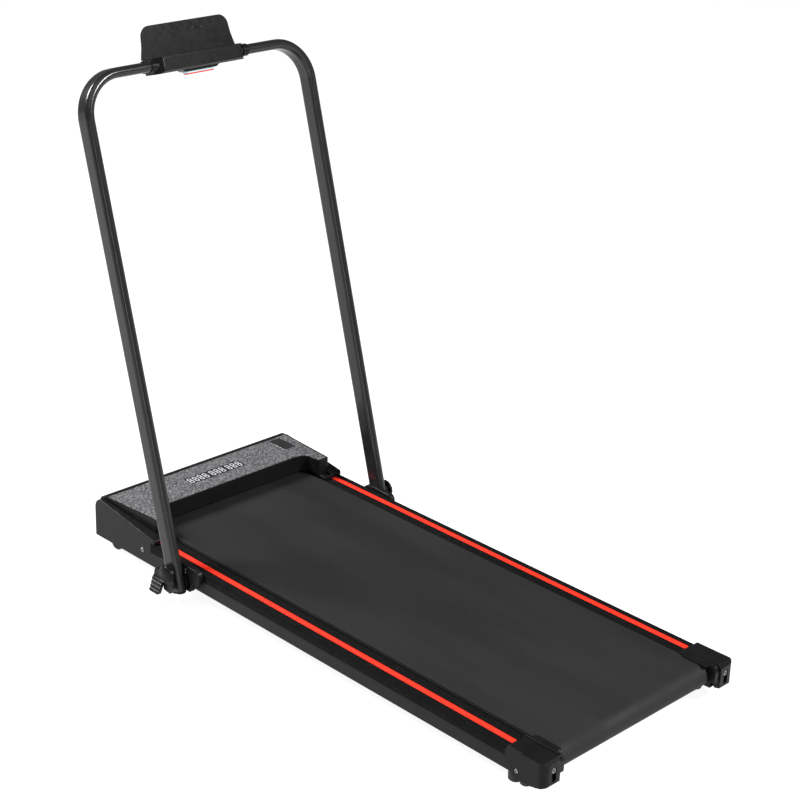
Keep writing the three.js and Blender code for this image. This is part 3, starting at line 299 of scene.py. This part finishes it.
def pale_band_material():
    material, tree, surface = shader("key_pale")
    streak = noise(tree, 5 * MM, 3, (0.3, 1, 1))
    tree.links.new(blend_colors(tree, streak, (0.3, 0.43, 0.46), (0.46, 0.6, 0.63)),
                   surface.inputs["Base Color"])
    tree.links.new(spread(tree, streak, 0.2, 0.32), surface.inputs["Roughness"])
    return material


LOOKS = {
    "frame_paint": moulded("frame_paint", (0.0055, 0.0055, 0.006), (0.008, 0.008, 0.0085), 0.4,
                           1.1 * MM, 0.05 * MM, specular=0.15),
    "tube_paint": moulded("tube_paint", (0.0125, 0.0125, 0.0133), (0.0145, 0.0145, 0.0154), 0.2,
                          1.3 * MM, 0.006 * MM, specular=0.3),
    "black_plastic": moulded("black_plastic", (0.005, 0.005, 0.0053), (0.007, 0.007, 0.0074),
                             0.3, 0.7 * MM, 0.02 * MM, specular=0.12),
    "rail_plastic": moulded("rail_plastic", (0.003, 0.003, 0.0032), (0.0048, 0.0048, 0.0051), 0.6,
                            0.8 * MM, 0.03 * MM, specular=0.05),
    "red_trim": trim_material(),
    "belt_rubber": belt_material(),
    "black_rubber": rubber_material(),
    "deck_wood": board_material(),
    "speckled_panel": granite_material(),
    "dark_window": window_material(),
    "circuit_board": circuit_material(),
    "bare_steel": metal_material("bare_steel", (0.36, 0.365, 0.375), (0.46, 0.465, 0.475), 0.36,
                                 (1, 0.06, 0.06)),
    "bright_steel": metal_material("bright_steel", (0.2, 0.2, 0.206), (0.3, 0.3, 0.308), 0.34,
                                   (0.1, 1, 1)),
    "light_digits": digit_material(),
    "key_pale": pale_band_material(),
}


# ---------------------------------------------------------------- making pieces

def mesh_piece(name, points, faces):
    mesh = bpy.data.meshes.new(name)
    mesh.from_pydata([tuple(p) for p in points], [], faces)
    shape = bmesh.new()
    shape.from_mesh(mesh)
    bmesh.ops.remove_doubles(shape, verts=shape.verts, dist=0.01 * MM)
    bmesh.ops.recalc_face_normals(shape, faces=shape.faces)
    shape.to_mesh(mesh)
    shape.free()
    piece = bpy.data.objects.new(name, mesh)
    bpy.context.scene.collection.objects.link(piece)
    return piece


def mark_edges(mesh, width, corner):
    """Gives a bevel weight to outward edges sharper than corner and over two widths long."""
    shape = bmesh.new()
    shape.from_mesh(mesh)
    weight = shape.edges.layers.float.new("bevel_weight_edge")
    for edge in shape.edges:
        if (edge.is_manifold and edge.is_convex and edge.calc_length() > 2 * width
                and edge.calc_face_angle() > math.radians(corner)):
            edge[weight] = 1.0
    shape.to_mesh(mesh)
    shape.free()


def dress(piece, slot, body, width=0.0, segments=2, smooth=SMOOTH_BELOW, corner=ROUND_ABOVE):
    """Rounds edges sharper than corner by width, shades the piece and sets it on its body."""
    mesh = piece.data
    mesh.materials.clear()
    mesh.materials.append(LOOKS[slot])
    mesh.shade_smooth()
    mesh.set_sharp_from_angle(angle=math.radians(smooth))
    if width:
        mark_edges(mesh, width, corner)
        bevel = piece.modifiers.new("edges", "BEVEL")
        bevel.limit_method = "WEIGHT"
        bevel.use_clamp_overlap = False
        bevel.width = width
        bevel.segments = segments
        normals = piece.modifiers.new("normals", "WEIGHTED_NORMAL")
        normals.keep_sharp = True
    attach(piece, body)
    return piece


def cad_points(node):
    return [vertex.co for vertex in frame["nodes"][node].data.vertices]


def reach(node, direction, origin=(0, 0, 0)):
    """Lowest and highest distance of a node's corners along a direction."""
    places = [(point - Vector(origin)).dot(direction) for point in cad_points(node)]
    return min(places), max(places)


def refined(node, width, segments=2, corner=ROUND_ABOVE):
    """Stands for a CAD node with the same shape, its flat faces whole and its edges rounded."""
    source = frame["nodes"][node]
    piece = mesh_piece(f"{node}_fine", cad_points(node),
                       [tuple(p.vertices) for p in source.data.polygons])
    shape = bmesh.new()
    shape.from_mesh(piece.data)
    bmesh.ops.dissolve_limit(shape, angle_limit=math.radians(FLAT_WITHIN), verts=shape.verts,
                             edges=shape.edges)
    shape.to_mesh(piece.data)
    shape.free()
    dress(piece, SLOT_OF[node], source["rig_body"], width, segments,
          max(SMOOTH_BELOW, corner), corner)
    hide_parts(node)


def loft(name, rings, closed=False):
    """Skins rings of points; the ends are capped unless the rings close on themselves."""
    size = len(rings[0])
    points = [point for ring in rings for point in ring]
    faces = []
    for i in range(len(rings) if closed else len(rings) - 1):
        here = i * size
        there = (i + 1) % len(rings) * size
        faces += [(here + j, here + (j + 1) % size, there + (j + 1) % size, there + j)
                  for j in range(size)]
    if not closed:
        faces += [tuple(range(size)), tuple(range((len(rings) - 1) * size, len(rings) * size))]
    return mesh_piece(name, points, faces)


def spun(name, centres, axis, profile, steps=40):
    """Turns a closed profile of (radius, height) about an axis, once at each centre."""
    side = axis.orthogonal().normalized()
    other = axis.cross(side)
    size = len(profile)
    sides = [j for j in range(size) if profile[j][0] or profile[(j + 1) % size][0]]
    points, faces = [], []
    for centre in centres:
        first = len(points)
        for i in range(steps):
            turn = 2 * math.pi * i / steps
            out = side * math.cos(turn) + other * math.sin(turn)
            points += [centre + out * radius + axis * height for radius, height in profile]
        for i in range(steps):
            here, there = first + i * size, first + (i + 1) % steps * size
            faces += [(here + j, here + (j + 1) % size, there + (j + 1) % size, there + j)
                      for j in sides]
    return mesh_piece(name, points, faces)


def dome(radius, height, sink=0.3 * MM):
    """Profile of a low round stud."""
    return ([(0, -sink), (radius, -sink)]
            + [(radius * a, height * b) for a, b in arc((0, 0), 1, 0, 90, 6)[:-1]] + [(0, height)])


def bead(radius, width, height, sink=0.3 * MM):
    """Profile of a half-round bead that runs round a circle."""
    half = width / 2
    return ([(radius - half, -sink), (radius + half, -sink)]
            + [(radius + half * a, height * b) for a, b in arc((0, 0), 1, 0, 180, 8)])


def screw(name, centre, axis, radius, body):
    """A pan head with a rounded rim round its socket, drawn in shares of its radius; the socket
    floor is a black disc, painted shade in the recess.
    """
    head = [(radius * a, radius * b) for a, b in (
        (0.42, -0.2), (1, -0.2), (1, 0.15), (0.9, 0.38), (0.72, 0.5), (0.42, 0.5))]
    socket = [(0, -0.2 * radius), (0.5 * radius, -0.2 * radius), (0.5 * radius, 0.12 * radius),
              (0, 0.12 * radius)]
    dress(spun(f"{name}_head", [centre], axis, head), "bright_steel", body)
    # Painted shade: the socket floor is black rubber, standing for the shade inside the steel
    # head's recess.
    dress(spun(f"{name}_socket", [centre], axis, socket), "black_rubber", body)


def arc(centre, radius, start, end, steps):
    """Points on an arc from start to end, in degrees."""
    turns = [math.radians(start + (end - start) * i / steps) for i in range(steps + 1)]
    return [(centre[0] + radius * math.cos(t), centre[1] + radius * math.sin(t)) for t in turns]


# ---------------------------------------------------------------- handrail

PIVOT = Vector(JOINTS["handrail_fold"]["pos_m"])
UP = -Vector(JOINTS["safety_key_pull"]["axis"])
AHEAD = Vector((1, 0, 0)).cross(UP) * -1
LEG_LOW, LEG_HIGH = reach("handrail_tube", UP, PIVOT)
TUBE_HALF_DEEP = reach("handrail_tube", AHEAD, PIVOT)[1]
TUBE_HALF_WIDE = TUBE_HALF_DEEP / 2
TUBE_WALL = 1.5 * MM
LEG_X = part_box("handrail_tube")[1].x - TUBE_HALF_WIDE
BAR_UP = LEG_HIGH - TUBE_HALF_WIDE
BEND_RADIUS = 80 * MM
BEND_STEPS = 20


def lean(x, ahead, up):
    """A point given round the pivot, in the leaning plane of the handrail."""
    return PIVOT + Vector((x, 0, 0)) + AHEAD * ahead + UP * up


def tube_path():
    """Centre points and directions: up the left leg, over the bar, down the right leg."""
    stations = [(-LEG_X, LEG_LOW, 0, 1)]
    for side, start in ((-1, 180), (1, 90)):
        centre = side * (LEG_X - BEND_RADIUS)
        for i in range(BEND_STEPS + 1):
            angle = math.radians(start - 90 * i / BEND_STEPS)
            stations.append((centre + BEND_RADIUS * math.cos(angle),
                             BAR_UP - BEND_RADIUS + BEND_RADIUS * math.sin(angle),
                             math.sin(angle), -math.cos(angle)))
    stations.append((LEG_X, LEG_LOW, 0, -1))
    return stations


def oval(margin, steps=14):
    """The flat-oval section as (ahead, across) pairs."""
    straight = TUBE_HALF_DEEP - TUBE_HALF_WIDE
    radius = TUBE_HALF_WIDE + margin
    return (arc((straight, 0), radius, -90, 90, steps)
            + arc((-straight, 0), radius, 90, 270, steps))


def handrail():
    outer, inner = ([[lean(x - up * across, ahead, z + along * across)
                      for ahead, across in oval(margin)]
                     for x, z, along, up in tube_path()] for margin in (0, -TUBE_WALL))
    tube = loft("handrail_tube_smooth", outer + inner[::-1], closed=True)
    dress(tube, "tube_paint", "handrail", 0.4 * MM)
    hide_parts("handrail_tube")


# ---------------------------------------------------------------- belt, rollers and rails

BELT_LOW, BELT_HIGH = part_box("walking_belt")
BELT_RADIUS = (BELT_HIGH.z - BELT_LOW.z) / 2
BELT_THICK = 2 * MM
AXLE_Z = (BELT_HIGH.z + BELT_LOW.z) / 2


def belt():
    """The loop with coordinates along its run, so that the weave follows it."""
    rear, front = BELT_LOW.y + BELT_RADIUS, BELT_HIGH.y - BELT_RADIUS
    half, steps = BELT_HIGH.x, 40
    outer = (arc((front, AXLE_Z), BELT_RADIUS, -90, 90, steps)
             + arc((rear, AXLE_Z), BELT_RADIUS, 90, 270, steps))
    inside = BELT_RADIUS - BELT_THICK
    inner = (arc((front, AXLE_Z), inside, -90, 90, steps)
             + arc((rear, AXLE_Z), inside, 90, 270, steps))
    round_off = 0.6 * MM
    rings = []
    for (y, z), (y_in, z_in) in zip(outer, inner):
        out, back = Vector((0, y, z)), Vector((0, y_in, z_in))
        step = (back - out).normalized() * round_off
        rings.append([Vector((x, 0, 0)) + point for x, point in (
            (-half, out + step), (-half + round_off, out), (half - round_off, out),
            (half, out + step), (half, back - step), (half - round_off, back),
            (-half + round_off, back), (-half, back - step))])
    piece = loft("walking_belt_smooth", rings, closed=True)
    layer = piece.data.uv_layers.new(name="run")
    run_of = belt_run(rear, front)
    whole = 2 * (front - rear) + 2 * math.pi * BELT_RADIUS
    vertices, loops = piece.data.vertices, piece.data.loops
    for polygon in piece.data.polygons:
        corners = [vertices[loops[i].vertex_index].co for i in polygon.loop_indices]
        runs = [run_of(point) for point in corners]
        for i, point, run in zip(polygon.loop_indices, corners, runs):
            if max(runs) - run > whole / 2:
                run += whole
            layer.data[i].uv = (point.x, run)
    dress(piece, "belt_rubber", "base")
    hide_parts("walking_belt")


def belt_run(rear, front):
    """How far round the loop a point is, from the start of the upper run."""
    length = front - rear
    half_turn = math.pi * BELT_RADIUS

    def run(point):
        if point.y > front:
            turn = math.atan2(point.z - AXLE_Z, point.y - front)
            return length + half_turn * (0.5 - turn / math.pi)
        if point.y < rear:
            turn = math.atan2(point.z - AXLE_Z, rear - point.y)
            return 2 * length + half_turn + half_turn * (0.5 + turn / math.pi)
        if point.z > AXLE_Z:
            return point.y - rear
        return length + half_turn + front - point.y

    return run


def treads():
    """Fine cross ribs on the two tread strips of each rail cover."""
    pitch, half_foot, half_crest, rise, sink = 5 * MM, 1 * MM, MM / 3, 0.45 * MM, 0.9 * MM
    from_rear, from_front = 12 * MM, 22 * MM
    from_belt, from_red, from_edge = 2.6 * MM, 1.8 * MM, 4.2 * MM
    for side, sign in SIDES.items():
        low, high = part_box(f"rail_cover_{side}")
        strip_low, strip_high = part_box(f"trim_strip_{side}")
        near, far = sorted((abs(low.x), abs(high.x)))
        red_near, red_far = sorted((abs(strip_low.x), abs(strip_high.x)))
        profile = ((-half_foot, high.z - sink), (-half_crest, high.z + rise),
                   (half_crest, high.z + rise), (half_foot, high.z - sink))
        points, faces = [], []
        y = low.y + from_rear
        while y < high.y - from_front:
            for start, end in ((near + from_belt, red_near - from_red),
                               (red_far + from_red, far - from_edge)):
                first = len(points)
                points += [(sign * x, y + dy, z) for x in (start, end) for dy, z in profile]
                faces += [tuple(first + i for i in quad) for quad in (
                    (0, 1, 5, 4), (1, 2, 6, 5), (2, 3, 7, 6), (3, 0, 4, 7), (0, 3, 2, 1),
                    (4, 5, 6, 7))]
            y += pitch
        piece = mesh_piece(f"tread_ribs_{side}", points, faces)
        dress(piece, "rail_plastic", "base")


# ---------------------------------------------------------------- display

def digits():
    """Three groups of lit seven-segment eights on the display window."""
    low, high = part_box("display_window")
    middle = (low + high) / 2
    tall, wide, stroke = 19.5 * MM, 6.8 * MM, 1.5 * MM
    pitch, space = 13.3 * MM, 4.5 * MM
    clear, sink, rise = 0.25 * MM, 0.1 * MM, 0.12 * MM
    half = stroke / 2
    groups = (4, 3, 3)
    total = sum(groups) * pitch + (len(groups) - 1) * space
    points, faces = [], []

    def bar(x0, y0, x1, y1):
        """A segment with pointed ends between two corners of a digit."""
        first = len(points)
        if x1 - x0 > y1 - y0:
            shape = [(x0, y0), (x0 + half, y0 - half), (x1 - half, y0 - half), (x1, y0),
                     (x1 - half, y0 + half), (x0 + half, y0 + half)]
        else:
            shape = [(x0, y0), (x0 + half, y0 + half), (x0 + half, y1 - half), (x0, y1),
                     (x0 - half, y1 - half), (x0 - half, y0 + half)]
        for z in (high.z - sink, high.z + rise):
            points.extend((x, y, z) for x, y in shape)
        faces.append(tuple(first + i for i in reversed(range(6))))
        faces.append(tuple(first + 6 + i for i in range(6)))
        faces.extend((first + i, first + (i + 1) % 6, first + 6 + (i + 1) % 6, first + 6 + i)
                     for i in range(6))

    x = middle.x - total / 2 + (pitch - wide) / 2
    for group in groups:
        for _ in range(group):
            bottom, top = middle.y - tall / 2, middle.y + tall / 2
            for y in (bottom, middle.y, top):
                bar(x + clear, y, x + wide - clear, y)
            for side_x in (x, x + wide):
                bar(side_x, bottom + clear, side_x, middle.y - clear)
                bar(side_x, middle.y + clear, side_x, top - clear)
            x += pitch
        x += space
    piece = mesh_piece("display_digits", points, faces)
    dress(piece, "light_digits", "base")


# ---------------------------------------------------------------- the assembly

# Rounding of each kind of node: width in mm, segments, and the angle if not ROUND_ABOVE.
EDGES = {
    "hood_shell": (0.9, 3), "hood_panel": (0.3, 2), "display_window": (0.2, 1),
    "sensor_window": (0.2, 1), "front_cover": (1.1, 3), "end_cap": (1.8, 3, 50),
    "rail_cover": (0.25, 2), "trim_strip": (0.15, 1), "frame_rail": (0.6, 2),
    "handrail_bracket": (0.9, 2), "lock_knob": (0.9, 3), "pivot_bolt": (0.3, 2),
    "tension_bolt": (0.25, 2), "holder_tray": (0.9, 3), "holder_back_plate": (0.7, 2),
    "holder_clamp": (0.6, 2), "rear_foot": (0.5, 2),
    "front_wheel": (0.4, 2), "wheel_bolt": (0.3, 2), "leg_plug": (0.4, 2),
    "power_inlet": (0.3, 2), "power_switch": (0.4, 2), "belly_pan": (0.4, 2),
    "motor_housing": (0.6, 2), "axle_carrier": (0.4, 2),
}


def refine_nodes():
    for node in sorted(frame["nodes"]):
        kind = node.removesuffix("_left").removesuffix("_right")
        if kind in EDGES:
            width, *shape = EDGES[kind]
            refined(node, width * MM, *shape)


def dress_cad_nodes():
    """The nodes that show as they are get their slot's material."""
    for node, thing in frame["nodes"].items():
        for holder in thing.material_slots:
            holder.material = LOOKS[SLOT_OF[node]]


# ---------------------------------------------------------------- small pieces

def on_bar(x, ahead, up):
    """A point given round the middle of the bar, in the leaning plane of the handrail."""
    return lean(x, ahead, BAR_UP + up)


def safety_key():
    """A pale band over a red base, both with slanted sides."""
    base_share, taper = 0.42, 6 * MM
    low, high = reach("safety_key", UP, PIVOT)
    back, front = reach("safety_key", AHEAD, PIVOT)
    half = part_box("safety_key")[1].x
    split = low + base_share * (high - low)
    slant = taper / (high - low)
    for name, slot, start, end in (("key_base", "red_trim", low, split),
                                   ("key_band", "key_pale", split, high)):
        rings = []
        for up in (start, end):
            side = half - slant * (high - up)
            rings.append([lean(-side, back, up), lean(side, back, up), lean(side, front, up),
                          lean(-side, front, up)])
        piece = dress(loft(name, rings), slot, "safety_key", 0.3 * MM)
        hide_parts("safety_key")


def holder_details():
    """Six round marks on the back plate, and studs and cross ribs in the tray."""
    plate_face = reach("holder_back_plate", AHEAD, PIVOT)[0]
    tray_back = reach("holder_tray", AHEAD, PIVOT)[0]
    tray_top = reach("holder_tray", UP, PIVOT)[1] - BAR_UP
    columns, column_pitch, marks_up = 6, 23 * MM, 64 * MM
    row = [(i - (columns - 1) / 2) * column_pitch for i in range(columns)]
    marks = [on_bar(x, plate_face, marks_up) for x in row]
    dress(spun("plate_marks", marks, -AHEAD, bead(7.6 * MM, 1.6 * MM, 0.5 * MM)),
          "black_plastic", "handrail")
    pocket_deep, studs_ahead = 2.5 * MM, 8 * MM
    floor_up = tray_top - pocket_deep
    studs = [on_bar(x, tray_back + studs_ahead, floor_up) for x in row]
    dress(spun("tray_studs", studs, UP, dome(2.2 * MM, 2 * MM)), "bare_steel", "handrail")
    ribs, rib_pitch, half_wide, rise, sink = 20, 8 * MM, 1 * MM, 2 * MM, 0.3 * MM
    rib_ends = (tray_back + 13 * MM, plate_face - 3 * MM)
    points, faces = [], []
    for i in range(ribs):
        x = (i - (ribs - 1) / 2) * rib_pitch
        first = len(points)
        for ahead in rib_ends:
            points += [on_bar(x - half_wide, ahead, floor_up - sink),
                       on_bar(x, ahead, floor_up + rise),
                       on_bar(x + half_wide, ahead, floor_up - sink)]
        faces += [tuple(first + j for j in face) for face in (
            (0, 1, 4, 3), (1, 2, 5, 4), (2, 0, 3, 5), (0, 2, 1), (3, 4, 5))]
    dress(mesh_piece("tray_ribs", points, faces), "black_plastic", "handrail")


def screws():
    """Side screws of the front covers and end caps, and the bracket screws."""
    cover_y, cover_z, cover_radius, cover_proud = 465.5 * MM, 49 * MM, 4.6 * MM, 0.4 * MM
    recess_radius, recess_rise = 8 * MM, 0.25 * MM
    cap_from_rear, cap_z, cap_radius, cap_sunk = 63 * MM, 37 * MM, 4.3 * MM, 1.2 * MM
    bracket_y, bracket_heights, bracket_radius = 312 * MM, (63 * MM, 69.5 * MM), 2.2 * MM
    for side, sign in SIDES.items():
        out = Vector((sign, 0, 0))

        def spot(node, y, z, sunk=0.0):
            """A point on the outer side of a node, or sunk below it."""
            low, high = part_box(node)
            return Vector((sign * (max(abs(low.x), abs(high.x)) - sunk), y, z))

        cover = spot(f"front_cover_{side}", cover_y, cover_z)
        dress(spun(f"cover_recess_{side}", [cover], out, dome(recess_radius, recess_rise)),
              "black_rubber", "base")
        screw(f"cover_screw_{side}", cover + out * cover_proud, out, cover_radius, "base")
        cap_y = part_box(f"end_cap_{side}")[0].y + cap_from_rear
        cap = spot(f"end_cap_{side}", cap_y, cap_z, cap_sunk)
        screw(f"cap_screw_{side}", cap, out, cap_radius, "base")
        for i, z in enumerate(bracket_heights):
            place_at = spot(f"handrail_bracket_{side}", bracket_y, z)
            screw(f"bracket_screw_{side}_{i}", place_at, out, bracket_radius, "base")


def cap_beads():
    """A half-round bead along the belt side of each end cap, bent down at the rear."""
    radius, bend, middle = 2.3 * MM, 8 * MM, 209.75 * MM
    sunk, from_rear, from_front = 1.6 * MM, 5.5 * MM, 5 * MM
    root, level = 0.3, 0.01     # shares of the radius; points below level sink by root
    section = [(a, b - root if b < level else b) for a, b in arc((0, 0), 1, 0, 180, 10)]
    for side, sign in SIDES.items():
        low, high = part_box(f"end_cap_{side}")
        base, rear = high.z - sunk, low.y + from_rear
        bent = arc((rear + bend, base - bend), bend, 90, 180, 9)
        path = [(high.y - from_front, base, 90)]
        path += [(y, z, turn) for (y, z), turn in zip(bent, range(90, 181, 10))]
        rings = []
        for y, z, turn in path:
            out = Vector((0, math.cos(math.radians(turn)), math.sin(math.radians(turn))))
            here = Vector((sign * middle, y, z))
            rings.append([here + Vector((radius * a, 0, 0)) + out * radius * b
                          for a, b in section])
        dress(loft(f"cap_bead_{side}", rings), "black_plastic", "base")


# ---------------------------------------------------------------- stage

FLOOR_HALF = 30             # metres


def floor():
    material, tree, surface = shader("pale_floor")
    cloud = noise(tree, 0.8, 3)
    tree.links.new(blend_colors(tree, cloud, (0.2, 0.2, 0.202), (0.22, 0.22, 0.22)),
                   surface.inputs["Base Color"])
    surface.inputs["Roughness"].default_value = 0.9
    surface.inputs["Specular IOR Level"].default_value = 0.1
    surface.inputs["Emission Color"].default_value = (1, 1, 1, 1)
    surface.inputs["Emission Strength"].default_value = 0.92
    corners = [(FLOOR_HALF * x, FLOOR_HALF * y, 0) for x, y in ((-1, -1), (1, -1), (1, 1), (-1, 1))]
    plane = mesh_piece("floor", corners, [(0, 1, 2, 3)])
    plane.data.materials.append(material)


def softbox(name, place_at, aim, size, power):
    light = bpy.data.lights.new(name, "AREA")
    light.shape = "RECTANGLE"
    light.size, light.size_y = size
    light.energy = power
    lamp = bpy.data.objects.new(name, light)
    lamp.location = place_at
    lamp.rotation_mode = "QUATERNION"
    lamp.rotation_quaternion = (Vector(aim) - Vector(place_at)).to_track_quat("-Z", "Y")
    bpy.context.scene.collection.objects.link(lamp)


# Place, aim, size in metres and power in watts.
SOFTBOXES = {
    "key_softbox": ((1.8, -3.4, 3.2), (0, -0.2, 0.1), (1.0, 1.0), 320),
    "top_softbox": ((-1.4, -1.6, 4.2), (0, 0, 0.2), (3.5, 3.5), 60),
    "rim_softbox": ((-1.75, 2.95, 2.9), (0, 0, 0.1), (1.3, 1.3), 300),
    "fill_softbox": ((-2.9, -3.2, 0.9), (0, 0, 0.5), (0.4, 1.8), 26),
}
WORLD_STRENGTH = 0.12


def lights():
    for name, box in SOFTBOXES.items():
        softbox(name, *box)
    world = bpy.data.worlds.new("studio")
    world.use_nodes = True
    background = world.node_tree.nodes["Background"]
    background.inputs["Color"].default_value = (1, 1, 1, 1)
    background.inputs["Strength"].default_value = WORLD_STRENGTH
    bpy.context.scene.world = world
    bpy.context.scene.view_settings.view_transform = "Standard"


CAMERA_AT = (-2.298, -2.335, 1.851)     # metres
CAMERA_HEADING = 44.61      # degrees from +Y towards +X
CAMERA_DROP = 23.05         # degrees below the horizon
CAMERA_ROLL = 1.5           # degrees
CAMERA_LENS = 86.1          # focal length in mm


def camera():
    data = bpy.data.cameras.new("camera")
    data.lens = CAMERA_LENS
    eye = bpy.data.objects.new("camera", data)
    turn = (Matrix.Rotation(math.radians(-CAMERA_HEADING), 4, "Z")
            @ Matrix.Rotation(math.radians(90 - CAMERA_DROP), 4, "X")
            @ Matrix.Rotation(math.radians(CAMERA_ROLL), 4, "Z"))
    eye.matrix_world = Matrix.Translation(CAMERA_AT) @ turn
    bpy.context.scene.collection.objects.link(eye)
    bpy.context.scene.camera = eye


camera()
lights()
floor()
dress_cad_nodes()
refine_nodes()
handrail()
belt()
treads()
digits()
safety_key()
holder_details()
screws()
cap_beads()
